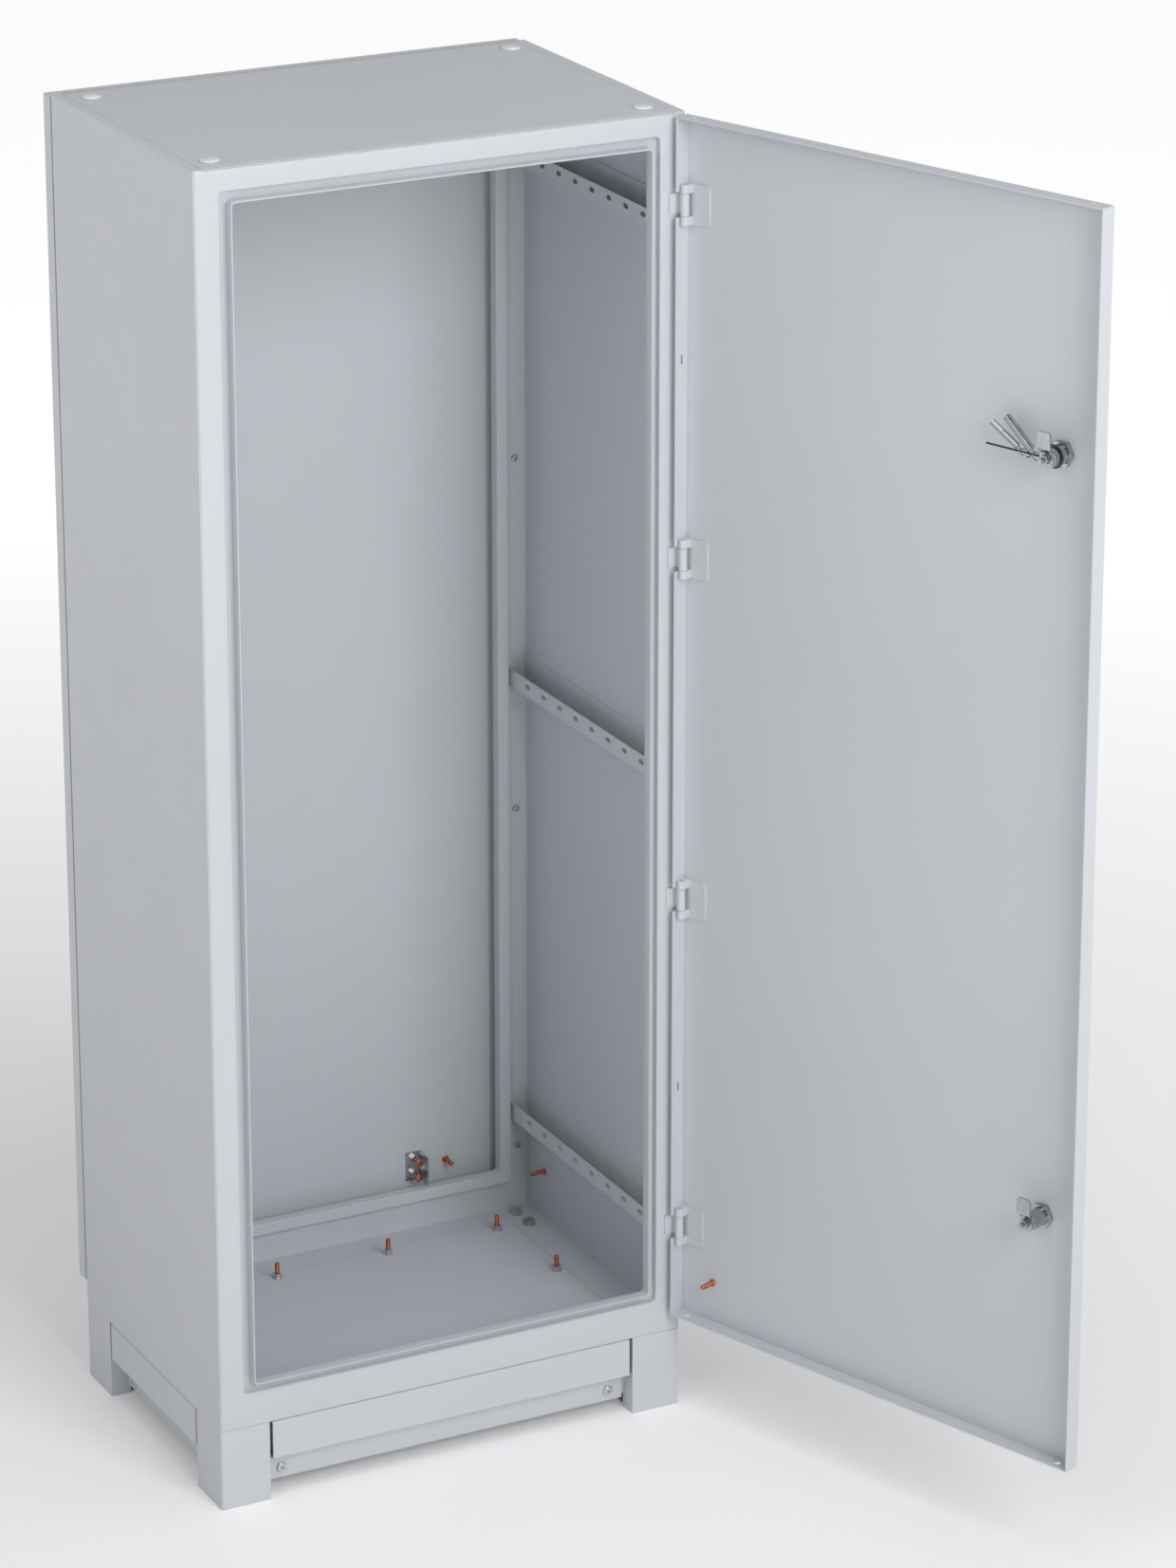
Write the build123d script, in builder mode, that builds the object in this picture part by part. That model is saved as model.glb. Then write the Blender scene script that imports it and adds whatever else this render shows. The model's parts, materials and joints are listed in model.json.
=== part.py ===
from build123d import *
import math
import os

os.makedirs("parts", exist_ok=True)

# ---------------------------------------------------------------- driving sizes (mm)
# X is the width (right is +X), the door opening faces -Y, Z is up.
# The origin is on the floor under the middle of the cabinet body.
width = 600
depth = 400
body_height = 1500
plinth_height = 100
sheet = 1.5

# rails of the front and rear openings
stile_face = 31
top_rail_face = 27
bottom_rail_face = 42
gutter_width = 11
gutter_depth = 9
lip_proud = 5
opening_radius = 4
gutter_radius = 5
return_flange = 12
seam = 0.4
edge_radius = 1.2

# door and rear cover trays
tray_depth = 21
tray_gap = 3
tray_bottom_margin = 25
tray_top_margin = 3
tray_edge_radius = 2
door_open_angle = 110
drain_hole_radius = 3.5
drain_hole_inset = 20
spare_slot_length = 12
spare_slot_width = 3

# hinges
pin_radius = 2.5
pin_from_edge = 6
pin_from_face = 12
knuckle_radius = 5
leaf_half_height = 13
knuckle_gap = 0.5
knuckle_height = 10
leaf_thickness = 4
leaf_pad_length = 14
leaf_pad_thickness = 2
leaf_pad_half_height = 12
pin_fit = 0.06
pin_press = 0.02
bracket_length = 34
bracket_thickness = 2
notch_half_height = 15
notch_remainder = 4.5
first_hinge_margin = 115
last_hinge_margin = 102
hinge_count = 4

# quarter-turn locks
lock_lip_clearance = 5.5
lower_lock_rise = 294
upper_lock_drop = 284
barrel_radius = 11
barrel_clearance = 0.1
escutcheon_radius = 15
escutcheon_thickness = 3
core_radius = 6
core_fit = 0.05
core_head_radius = 9
core_head_thickness = 1.5
key_socket_radius = 4.5
key_socket_depth = 10
key_socket_pin_radius = 1.5
square_side = 8
square_clearance = 0.05
ring_nut_across_flats = 27
ring_nut_thickness = 6
cam_thickness = 2.5
cam_width = 18
cam_reach = 32
cam_joggle = 5.5
cam_joggle_start = 7
cam_joggle_end = 12
cam_catch_gap = 1
core_stud_radius = 3
core_stud_length = 11
cam_nut_across_flats = 10
cam_nut_thickness = 5

# keys tied to the upper lock
tie_radius = 1.1
tie_clearance = 0.3
tie_from_panel = 17.5
tie_tail = 92
tie_tail_drop = 3.5
key_bow_radius = 6.5
key_bow_wire = 1
key_seat_gap = 0.3
key_neck_radius = 1.1
key_neck_length = 4.5
key_bore_depth = 14
# (distance of the bow along the tie, angle above the tie, shaft radius, shaft length)
key_list = [(22, 41, 4.5, 46), (39, 30, 3.5, 42)]

# gland plate in the floor
gland_plate_margin = 50
gland_plate_lap = 25
gland_plate_thickness = 2
gland_seal_thickness = 2
gland_corner_radius = 6
gland_stud_columns = 4
gland_stud_edge = 12
gland_stud_end = 25
gland_stud_height = 24

# copper weld studs, nuts and washers
stud_radius = 3
stud_hole_clearance = 0.4
thread_clearance = 0.05
wall_stud_length = 20
floor_stud_length = 34
stud_foot_radius = 4.5
stud_foot_thickness = 1
wall_stud_rise = 65
wall_stud_inset = 50
door_stud_inset = 51
door_stud_rise = 52
m6_across_flats = 10
m6_nut_thickness = 5
m6_washer_radius = 6
m6_washer_thickness = 1.5

# earth tab on the rear cover, and the other earth studs
earth_tab_inset = 150
earth_tab_width = 20
earth_tab_height = 38
earth_tab_fin = 27
earth_tab_thickness = 2
earth_tab_stud_pitch = 20
earth_tab_lip_gap = 1.5
rear_cover_stud_inset = 105
floor_stud_side_inset = 100
floor_stud_front_inset = 30

# slotted mounting rails on the side walls
lower_rail_rise = 145
middle_rail_rise = 720
upper_rail_drop = 120
rail_wall_flange = 15
rail_web = 23.5
rail_drop = 22
rail_slot_pitch = 42
rail_slot_length = 13
rail_slot_width = 6
rail_slot_drop = 9

# plinth
leg_front = 62
leg_side = 70
leg_thickness = 2
leg_bend_radius = 3
leg_tab = 35
leg_tab_rise = 4
cover_setback = 21
cover_thickness = 2
cover_gap = 4
cover_top_gap = 1
cover_top_flange = 14
cover_bottom_z = 14
cover_joggle_low_z = 44
cover_joggle_high_z = 52
cover_screw_inset = 23
cover_screw_z = 27
plinth_screw_radius = 3
plinth_screw_head_radius = 6.5
plinth_screw_head = 3
anchor_side_inset = 32
anchor_end_inset = 35
anchor_hole_radius = 6
body_bolt_side_inset = 28
body_bolt_far_inset = 22
body_bolt_near_inset = 58
body_bolt_radius = 4
body_bolt_clearance = 0.25
body_bolt_across_flats = 13
body_bolt_head = 5.5
body_bolt_washer_radius = 8
body_bolt_washer = 1.6

# rear cover fixing and roof plugs
cover_post_radius = 6
cover_post_x_inset = 16
cover_screw_levels = 4
cover_screw_margin = 60
cover_screw_radius = 2.5
cover_screw_reach = 12
cover_screw_head_radius = 4.5
cover_screw_head = 3
plug_inset = 35
plug_radius = 12
plug_height = 3
plug_stem_radius = 6.8
plug_stem_length = 10
plug_clearance = 0.2

# ---------------------------------------------------------------- derived places
base_z = plinth_height
top_z = plinth_height + body_height
middle_z = plinth_height + body_height / 2
half_width = width / 2
half_depth = depth / 2
inner_x = half_width - sheet
inner_y = half_depth - sheet

gutter_outer_x = half_width - stile_face
gutter_top_z = top_z - top_rail_face
gutter_bottom_z = base_z + bottom_rail_face
gutter_band = gutter_width + sheet
opening_x = gutter_outer_x - gutter_band
opening_top_z = gutter_top_z - gutter_band
opening_bottom_z = gutter_bottom_z + gutter_band
gutter_back = gutter_depth + sheet

tray_bottom_z = base_z + tray_bottom_margin
tray_top_z = top_z - tray_top_margin
tray_height = tray_top_z - tray_bottom_z
tray_middle_z = (tray_top_z + tray_bottom_z) / 2
tray_edge_y = half_depth + tray_gap
tray_face_y = tray_edge_y + tray_depth
tray_inner_y = tray_face_y - sheet

pin_x = half_width - pin_from_edge
pin_y = -half_depth - pin_from_face
hinge_axis = Axis((pin_x, pin_y, 0), (0, 0, 1))
lowest_hinge = tray_bottom_z + first_hinge_margin
highest_hinge = tray_top_z - last_hinge_margin
hinge_levels = [
    lowest_hinge + (highest_hinge - lowest_hinge) * step / (hinge_count - 1)
    for step in range(hinge_count)
]

lock_x = -opening_x + cam_width / 2 + lock_lip_clearance
lower_lock_z = tray_bottom_z + lower_lock_rise
upper_lock_z = tray_top_z - upper_lock_drop
cam_y = -half_depth + gutter_back + cam_catch_gap - cam_joggle

floor_top_z = base_z + sheet
gland_seal_top_z = floor_top_z + gland_seal_thickness
gland_plate_top_z = gland_seal_top_z + gland_plate_thickness
gland_plate_x = width - 2 * gland_plate_margin
gland_plate_y = depth - 2 * gland_plate_margin
floor_opening_x = gland_plate_x - 2 * gland_plate_lap
floor_opening_y = gland_plate_y - 2 * gland_plate_lap
gland_stud_span = gland_plate_x - 2 * gland_stud_end
gland_stud_y = gland_plate_y / 2 - gland_stud_edge
gland_stud_side_x = gland_plate_x / 2 - gland_stud_edge
gland_studs_long = [
    (gland_stud_span * (column / (gland_stud_columns - 1) - 0.5), side * gland_stud_y)
    for column in range(gland_stud_columns)
    for side in (-1, 1)
]
gland_stud_places = gland_studs_long + [(-gland_stud_side_x, 0), (gland_stud_side_x, 0)]

anchor_x = half_width - anchor_side_inset
anchor_y = half_depth - anchor_end_inset
body_bolt_x = half_width - body_bolt_side_inset
body_bolt_far_y = half_depth - body_bolt_far_inset
body_bolt_near_y = half_depth - body_bolt_near_inset
wall_stud_y = half_depth - wall_stud_inset
wall_stud_z = base_z + wall_stud_rise
door_stud_z = tray_bottom_z + door_stud_rise
earth_tab_x = half_width - earth_tab_inset
rear_cover_stud_x = half_width - rear_cover_stud_inset
floor_stud_x = half_width - floor_stud_side_inset
floor_stud_y = -half_depth + floor_stud_front_inset
rail_levels = [base_z + lower_rail_rise, base_z + middle_rail_rise, top_z - upper_rail_drop]
leg_corners = [(sx, sy) for sx in (-1, 1) for sy in (-1, 1)]
body_bolt_places = [
    (sx * body_bolt_x, sy * y)
    for sx, sy in leg_corners
    for y in (body_bolt_far_y, body_bolt_near_y)
]
plug_places = [
    (sx * (half_width - plug_inset), sy * (half_depth - plug_inset)) for sx, sy in leg_corners
]


def facing_front(y):
    """Sketch plane at the given y, with local x along X, local y along Z, normal along -Y."""
    return Plane.XZ.offset(-y)


def save(piece, name):
    """Write one named sub-part."""
    piece.label = name
    export_step(piece, f"parts/{name}.step")


def save_on_door(piece, name):
    """Write a sub-part of the door, modelled shut and swung to its resting open angle."""
    save(piece.rotate(hinge_axis, door_open_angle), name)


# ---------------------------------------------------------------- front and rear frames
def upright_ring(outer, band, y, thickness, outer_radius, inner_radius):
    """A ring round the opening from y to y + thickness; outer is (half x, bottom z, top z)."""
    half_x, low, high = outer
    with BuildSketch(facing_front(y)) as sketch:
        with Locations((0, (low + high) / 2)):
            RectangleRounded(2 * half_x, high - low, outer_radius)
            RectangleRounded(
                2 * (half_x - band), high - low - 2 * band, inner_radius, mode=Mode.SUBTRACT
            )
    extrude(sketch.sketch, amount=-thickness)


def face_ring(y, thickness, inner_radius):
    """The flat front of an opening frame, from the cabinet's outline to the gutter."""
    with BuildSketch(facing_front(y)) as sketch:
        with Locations((0, middle_z)):
            Rectangle(2 * inner_x, body_height)
        with Locations((0, (gutter_bottom_z + gutter_top_z) / 2)):
            RectangleRounded(
                2 * gutter_outer_x, gutter_top_z - gutter_bottom_z, inner_radius, mode=Mode.SUBTRACT
            )
    extrude(sketch.sketch, amount=-thickness)


def opening_frame():
    """Welded frame of an opening: face, gutter round the opening and the lip that stands forward."""
    gutter_outer = (gutter_outer_x, gutter_bottom_z, gutter_top_z)
    wall_outer = (gutter_outer_x + sheet, gutter_bottom_z - sheet, gutter_top_z + sheet)
    lip_outer = (opening_x + sheet, opening_bottom_z - sheet, opening_top_z + sheet)
    with BuildPart() as frame:
        face_ring(-half_depth, sheet, gutter_radius)
        upright_ring(
            wall_outer, sheet, -half_depth, gutter_back, gutter_radius + sheet, gutter_radius
        )
        upright_ring(
            gutter_outer, gutter_band, -half_depth + gutter_depth, sheet, gutter_radius, opening_radius
        )
        upright_ring(
            lip_outer,
            sheet,
            -half_depth - lip_proud,
            lip_proud + gutter_back,
            opening_radius + sheet,
            opening_radius,
        )
        with BuildSketch(Plane.XY.offset(top_z - sheet)) as roof_return:
            with Locations((0, -half_depth + return_flange / 2)):
                Rectangle(2 * (half_width - return_flange - seam), return_flange)
        extrude(roof_return.sketch, amount=sheet)
    return in_bars(frame.part)


def cut_into(piece, cells):
    """The piece as blocks that meet edge to edge; each cell holds its x, y and z spans."""
    blocks = []
    for spans in cells:
        with BuildPart() as block:
            add(piece)
            with Locations(tuple((low + high) / 2 for low, high in spans)):
                Box(*(high - low for low, high in spans), mode=Mode.INTERSECT)
        blocks += block.solids()
    return blocks


def in_bars(ring):
    """An opening frame as the four bars and four corner pieces that it is welded up from."""
    bar_x = opening_x - opening_radius
    low_z = opening_bottom_z + opening_radius
    high_z = opening_top_z - opening_radius
    all_y = (-depth, depth)
    columns = [(-half_width, -bar_x), (-bar_x, bar_x), (bar_x, half_width)]
    rows = [(base_z, low_z), (low_z, high_z), (high_z, top_z)]
    cells = [(column, all_y, row) for column in columns for row in rows]
    cells.remove((columns[1], all_y, rows[1]))
    return cut_into(ring, cells)


post_x = half_width - cover_post_x_inset
cover_screw_span = tray_height - 2 * cover_screw_margin
cover_screw_places = [
    (side * post_x, tray_bottom_z + cover_screw_margin + cover_screw_span * step / (cover_screw_levels - 1))
    for side in (-1, 1)
    for step in range(cover_screw_levels)
]

save(Compound(opening_frame()), "front_frame")

rear_bars = []
for front_bar in opening_frame():
    with BuildPart() as rear_bar:
        add(mirror(front_bar, about=Plane.XZ, mode=Mode.PRIVATE))
        with BuildSketch(facing_front(half_depth)):
            with Locations(*cover_screw_places):
                Circle(cover_screw_radius + thread_clearance)
        extrude(amount=sheet, mode=Mode.SUBTRACT)
    rear_bars += rear_bar.solids()
save(Compound(rear_bars), "rear_frame")

# ---------------------------------------------------------------- side walls, roof and floor
for side, wall_name in ((-1, "left_side_panel"), (1, "right_side_panel")):
    with BuildPart() as side_panel:
        with BuildSketch(Plane.XY.offset(base_z)):
            with Locations((side * (half_width - sheet / 2), 0)):
                Rectangle(sheet, depth)
        extrude(amount=body_height)
        outer_edges = side_panel.edges().filter_by(Axis.Z).group_by(Axis.X)[0 if side < 0 else -1]
        fillet(outer_edges, edge_radius)
        for level in (base_z, top_z - sheet):
            with BuildSketch(Plane.XY.offset(level)):
                with Locations((side * (half_width - return_flange / 2 - sheet / 2), 0)):
                    Rectangle(return_flange - sheet, 2 * inner_y)
            extrude(amount=sheet)
    save(side_panel.part, wall_name)

roof_x = half_width - return_flange - seam
roof_y = half_depth - return_flange - seam
with BuildPart() as top_panel:
    with BuildSketch(Plane.XY.offset(top_z - sheet)):
        Rectangle(2 * roof_x, 2 * roof_y)
        with Locations(*plug_places):
            Circle(plug_stem_radius + plug_clearance, mode=Mode.SUBTRACT)
    extrude(amount=sheet)
    with BuildSketch(Plane.XY.offset(top_z - 2 * sheet)):
        Rectangle(2 * inner_x, 2 * inner_y)
        Rectangle(2 * (roof_x - return_flange), 2 * (roof_y - return_flange), mode=Mode.SUBTRACT)
    extrude(amount=sheet)
save(top_panel.part, "top_panel")

with BuildPart() as lifting_hole_plugs:
    for place in plug_places:
        with BuildSketch(Plane.XY.offset(top_z - plug_stem_length)):
            with Locations(place):
                Circle(plug_stem_radius)
        extrude(amount=plug_stem_length)
        with BuildSketch(Plane.XY.offset(top_z)):
            with Locations(place):
                Circle(plug_radius)
        extrude(amount=plug_height, taper=30)
save(lifting_hole_plugs.part, "lifting_hole_plugs")

floor_x = half_width - return_flange
with BuildPart() as floor_frame:
    with BuildSketch(Plane.XY.offset(base_z)):
        Rectangle(2 * floor_x, 2 * inner_y)
        RectangleRounded(floor_opening_x, floor_opening_y, gland_corner_radius, mode=Mode.SUBTRACT)
        with Locations(*body_bolt_places):
            Circle(body_bolt_radius + body_bolt_clearance, mode=Mode.SUBTRACT)
    extrude(amount=sheet)
save(floor_frame.part, "floor_frame")

with BuildPart() as gland_seal:
    with BuildSketch(Plane.XY.offset(floor_top_z)):
        RectangleRounded(gland_plate_x, gland_plate_y, gland_corner_radius)
        RectangleRounded(floor_opening_x, floor_opening_y, gland_corner_radius, mode=Mode.SUBTRACT)
        with Locations(*gland_stud_places):
            Circle(stud_radius + stud_hole_clearance, mode=Mode.SUBTRACT)
    extrude(amount=gland_seal_thickness)
save(gland_seal.part, "gland_seal")

with BuildPart() as gland_plate:
    with BuildSketch(Plane.XY.offset(gland_seal_top_z)):
        RectangleRounded(gland_plate_x, gland_plate_y, gland_corner_radius)
        with Locations(*gland_stud_places):
            Circle(stud_radius + stud_hole_clearance, mode=Mode.SUBTRACT)
    extrude(amount=gland_plate_thickness)
save(gland_plate.part, "gland_plate")

with BuildPart() as gland_studs:
    with BuildSketch(Plane.XY.offset(floor_top_z)):
        with Locations(*gland_stud_places):
            Circle(stud_radius)
    extrude(amount=gland_stud_height)
save(gland_studs.part, "gland_plate_studs")

with BuildPart() as gland_nuts:
    with BuildSketch(Plane.XY.offset(gland_plate_top_z)):
        with Locations(*gland_stud_places):
            Circle(m6_washer_radius)
            Circle(stud_radius + thread_clearance, mode=Mode.SUBTRACT)
    extrude(amount=m6_washer_thickness)
    with BuildSketch(Plane.XY.offset(gland_plate_top_z + m6_washer_thickness)):
        with Locations(*gland_stud_places):
            RegularPolygon(m6_across_flats / 2, 6, major_radius=False)
            Circle(stud_radius + thread_clearance, mode=Mode.SUBTRACT)
    extrude(amount=m6_nut_thickness)
save(gland_nuts.part, "gland_plate_nuts")


# ---------------------------------------------------------------- rear cover
def tray():
    """Open tray of folded sheet, in the shut door's place: face at the front, flange backwards."""
    with BuildPart() as shell:
        with BuildSketch(facing_front(-tray_face_y)) as outline:
            with Locations((0, tray_middle_z)):
                Rectangle(width, tray_height)
        extrude(outline.sketch, amount=-tray_depth)
        fillet(shell.faces().sort_by(Axis.Y)[0].edges(), tray_edge_radius)
        with BuildSketch(facing_front(-tray_inner_y)) as hollow:
            with Locations((0, tray_middle_z)):
                Rectangle(width - 2 * sheet, tray_height - 2 * sheet)
        extrude(hollow.sketch, amount=-(tray_depth - sheet), mode=Mode.SUBTRACT)
    return shell.part


cover_x = (-half_width, half_width)
cover_z = (tray_bottom_z, tray_top_z)
between_x = (-inner_x, inner_x)
flange_y = (tray_edge_y, tray_inner_y)
cover_cells = [
    (cover_x, (tray_inner_y, tray_face_y), cover_z),
    ((-half_width, -inner_x), flange_y, cover_z),
    ((inner_x, half_width), flange_y, cover_z),
    (between_x, flange_y, (tray_bottom_z, tray_bottom_z + sheet)),
    (between_x, flange_y, (tray_top_z - sheet, tray_top_z)),
]
cover_sheets = cut_into(mirror(tray(), about=Plane.XZ), cover_cells)
with BuildPart() as cover_posts:
    with BuildSketch(facing_front(half_depth)):
        with Locations(*cover_screw_places):
            Circle(cover_post_radius)
            Circle(cover_screw_radius + thread_clearance, mode=Mode.SUBTRACT)
    extrude(amount=-(tray_inner_y - half_depth))
save(Compound([*cover_sheets, *cover_posts.solids()]), "rear_cover")

with BuildPart() as rear_cover_screws:
    with BuildSketch(facing_front(inner_y)):
        with Locations(*cover_screw_places):
            Circle(cover_screw_head_radius)
    extrude(amount=cover_screw_head)
    with BuildSketch(facing_front(inner_y)):
        with Locations(*cover_screw_places):
            Circle(cover_screw_radius)
    extrude(amount=-cover_screw_reach)
save(rear_cover_screws.part, "rear_cover_screws")

# ---------------------------------------------------------------- earth tab and weld studs
def weld_stud(base, direction, length):
    """Plain threaded weld stud standing off a surface along direction."""
    with BuildSketch(Plane(origin=base, z_dir=direction)) as shank:
        Circle(stud_radius)
    extrude(shank.sketch, amount=length)


def footed_stud(base, direction, length):
    """Weld stud with the flat foot that bare earth points have."""
    with BuildSketch(Plane(origin=base, z_dir=direction)) as foot:
        Circle(stud_foot_radius)
    extrude(foot.sketch, amount=stud_foot_thickness)
    weld_stud(base, direction, length)


def stud_nut(seat, direction):
    """M6 hexagon nut seated at the given point on a stud."""
    with BuildSketch(Plane(origin=seat, z_dir=direction)) as nut:
        RegularPolygon(m6_across_flats / 2, 6, major_radius=False)
        Circle(stud_radius + thread_clearance, mode=Mode.SUBTRACT)
    extrude(nut.sketch, amount=m6_nut_thickness)


earth_tab_face_y = tray_inner_y - earth_tab_thickness
earth_tab_left_x = earth_tab_x - earth_tab_width / 2
earth_tab_right_x = earth_tab_x + earth_tab_width / 2
earth_tab_bottom_z = opening_bottom_z + earth_tab_lip_gap
cover_stud_z = earth_tab_bottom_z + earth_tab_height / 2
tab_stud_levels = (cover_stud_z - earth_tab_stud_pitch / 2, cover_stud_z + earth_tab_stud_pitch / 2)

with BuildPart() as earth_tab:
    with BuildSketch(Plane.XY.offset(earth_tab_bottom_z)):
        with BuildLine():
            Polyline(
                (earth_tab_left_x, tray_inner_y),
                (earth_tab_right_x, tray_inner_y),
                (earth_tab_right_x, tray_inner_y - earth_tab_fin),
                (earth_tab_right_x - earth_tab_thickness, tray_inner_y - earth_tab_fin),
                (earth_tab_right_x - earth_tab_thickness, earth_tab_face_y),
                (earth_tab_left_x, earth_tab_face_y),
                close=True,
            )
        make_face()
    extrude(amount=earth_tab_height)
    with BuildSketch(facing_front(earth_tab_face_y)):
        with Locations(*[(earth_tab_x, level) for level in tab_stud_levels]):
            Circle(stud_radius + stud_hole_clearance)
    extrude(amount=-earth_tab_thickness, mode=Mode.SUBTRACT)
save(earth_tab.part, "earth_tab")

with BuildPart() as earth_tab_nuts:
    for level in tab_stud_levels:
        stud_nut((earth_tab_x, earth_tab_face_y, level), (0, -1, 0))
save(earth_tab_nuts.part, "earth_tab_nuts")

with BuildPart() as earth_studs:
    for side in (-1, 1):
        for y in (-wall_stud_y, wall_stud_y):
            footed_stud((side * inner_x, y, wall_stud_z), (-side, 0, 0), wall_stud_length)
    footed_stud((rear_cover_stud_x, tray_inner_y, cover_stud_z), (0, -1, 0), wall_stud_length)
    for level in tab_stud_levels:
        weld_stud((earth_tab_x, tray_inner_y, level), (0, -1, 0), wall_stud_length)
    footed_stud((floor_stud_x, floor_stud_y, floor_top_z), (0, 0, 1), floor_stud_length)
save(earth_studs.part, "earth_studs")


# ---------------------------------------------------------------- mounting rails
def mounting_rail(side, level):
    """Slotted rail along one side wall, a channel that is open at the top, from frame to frame."""
    wall_x = side * inner_x
    wall_inner_x = side * (inner_x - sheet)
    free_x = side * (inner_x - rail_web)
    free_inner_x = side * (inner_x - rail_web + sheet)
    web_z = level - rail_drop
    slot_count = int((2 * inner_y - rail_slot_pitch) / rail_slot_pitch)
    with BuildPart() as rail:
        with BuildSketch(facing_front(inner_y)):
            with BuildLine():
                Polyline(
                    (wall_x, level + rail_wall_flange),
                    (wall_x, web_z),
                    (free_x, web_z),
                    (free_x, level),
                    (free_inner_x, level),
                    (free_inner_x, web_z + sheet),
                    (wall_inner_x, web_z + sheet),
                    (wall_inner_x, level + rail_wall_flange),
                    close=True,
                )
            make_face()
        extrude(amount=2 * inner_y)
        with BuildSketch(Plane.YZ.offset(free_x)):
            with Locations((0, level - rail_slot_drop)):
                with GridLocations(rail_slot_pitch, 1, slot_count, 1):
                    SlotOverall(rail_slot_length, rail_slot_width)
        extrude(amount=sheet, both=True, mode=Mode.SUBTRACT)
    return rail.part


for side, side_name in ((-1, "left"), (1, "right")):
    for level, level_name in zip(rail_levels, ("lower", "middle", "upper")):
        save(mounting_rail(side, level), f"{side_name}_{level_name}_rail")

# ---------------------------------------------------------------- door, modelled shut
drain_x = half_width - drain_hole_inset
tray_flange_y = -(tray_face_y + tray_edge_y) / 2

with BuildPart() as door_panel:
    add(tray())
    with BuildSketch(Plane.XY.offset(tray_bottom_z)):
        with Locations((-drain_x, tray_flange_y), (drain_x, tray_flange_y)):
            Circle(drain_hole_radius)
    extrude(amount=tray_height, mode=Mode.SUBTRACT)
    notch_depth = tray_depth - notch_remainder
    with BuildSketch(Plane.YZ.offset(half_width - 2 * sheet)):
        for level in hinge_levels:
            with Locations((-tray_edge_y - notch_depth / 2, level)):
                Rectangle(notch_depth, 2 * notch_half_height)
        for level in (lower_lock_z, upper_lock_z):
            with Locations((tray_flange_y, level)):
                SlotOverall(spare_slot_length, spare_slot_width, rotation=90)
    extrude(amount=3 * sheet, mode=Mode.SUBTRACT)
    with BuildSketch(facing_front(-tray_face_y)):
        with Locations((lock_x, lower_lock_z), (lock_x, upper_lock_z)):
            Circle(barrel_radius + barrel_clearance)
    extrude(amount=-2 * sheet, mode=Mode.SUBTRACT)
save_on_door(door_panel.part, "door_panel")

with BuildPart() as door_earth_stud:
    footed_stud((half_width - door_stud_inset, -tray_inner_y, door_stud_z), (0, 1, 0), wall_stud_length)
save_on_door(door_earth_stud.part, "door_earth_stud")

# ---------------------------------------------------------------- hinges
for number, level in enumerate(hinge_levels, start=1):
    with BuildPart() as hinge_leaf:
        with BuildSketch(Plane.XY.offset(level - leaf_half_height)):
            with Locations((pin_x, pin_y)):
                Circle(knuckle_radius)
        extrude(amount=2 * leaf_half_height)
        with BuildSketch(Plane.XY.offset(level - leaf_pad_half_height)):
            with BuildLine():
                Polyline(
                    (pin_x - leaf_thickness / 2, pin_y),
                    (pin_x - leaf_thickness / 2, -half_depth - leaf_pad_thickness),
                    (pin_x - leaf_pad_length, -half_depth - leaf_pad_thickness),
                    (pin_x - leaf_pad_length, -half_depth),
                    (pin_x + leaf_thickness / 2, -half_depth),
                    (pin_x + leaf_thickness / 2, pin_y),
                    close=True,
                )
            make_face()
        extrude(amount=2 * leaf_pad_half_height)
        with BuildSketch(Plane.XY.offset(level - leaf_half_height)):
            with Locations((pin_x, pin_y)):
                Circle(pin_radius + pin_press)
        extrude(amount=2 * leaf_half_height, mode=Mode.SUBTRACT)
    save(hinge_leaf.part, f"hinge_leaf_{number}")

    bracket_half_height = leaf_half_height + knuckle_gap + knuckle_height
    with BuildPart() as hinge_bracket:
        with BuildSketch(facing_front(-tray_inner_y)):
            with Locations((inner_x - bracket_length / 2, level)):
                Rectangle(bracket_length, 2 * bracket_half_height)
        extrude(amount=-bracket_thickness)
        bracket_corners = hinge_bracket.edges().filter_by(Axis.Y).group_by(Axis.X)[0]
        fillet(bracket_corners, knuckle_radius)
        for low in (level - bracket_half_height, level + leaf_half_height + knuckle_gap):
            with BuildSketch(Plane.XY.offset(low)):
                with Locations((pin_x, pin_y)):
                    Circle(knuckle_radius)
                with BuildLine():
                    Polyline(
                        (pin_x - knuckle_radius, pin_y),
                        (pin_x - knuckle_radius, -tray_inner_y),
                        (inner_x, -tray_inner_y),
                        (inner_x, pin_y),
                        close=True,
                    )
                make_face()
            extrude(amount=knuckle_height)
        with BuildSketch(Plane.XY.offset(level - bracket_half_height)):
            with Locations((pin_x, pin_y)):
                Circle(pin_radius + pin_fit)
        extrude(amount=2 * bracket_half_height, mode=Mode.SUBTRACT)
        with BuildSketch(Plane.XY.offset(level - bracket_half_height)):
            with Locations((inner_x + knuckle_radius, pin_y)):
                Rectangle(2 * knuckle_radius, 4 * knuckle_radius)
        extrude(amount=2 * bracket_half_height, mode=Mode.SUBTRACT)
    save_on_door(hinge_bracket.part, f"hinge_bracket_{number}")

with BuildPart() as hinge_pins:
    for level in hinge_levels:
        with BuildSketch(Plane.XY.offset(level - bracket_half_height)) as pin_section:
            with Locations((pin_x, pin_y)):
                Circle(pin_radius)
        extrude(pin_section.sketch, amount=2 * bracket_half_height)
save(hinge_pins.part, "hinge_pins")


# ---------------------------------------------------------------- locks
def round_boss(radius, from_y, to_y, level, mode=Mode.ADD):
    """Cylinder on a lock's axis between two depths."""
    with BuildSketch(facing_front(from_y)) as section:
        with Locations((lock_x, level)):
            Circle(radius)
    extrude(section.sketch, amount=from_y - to_y, mode=mode)


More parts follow.
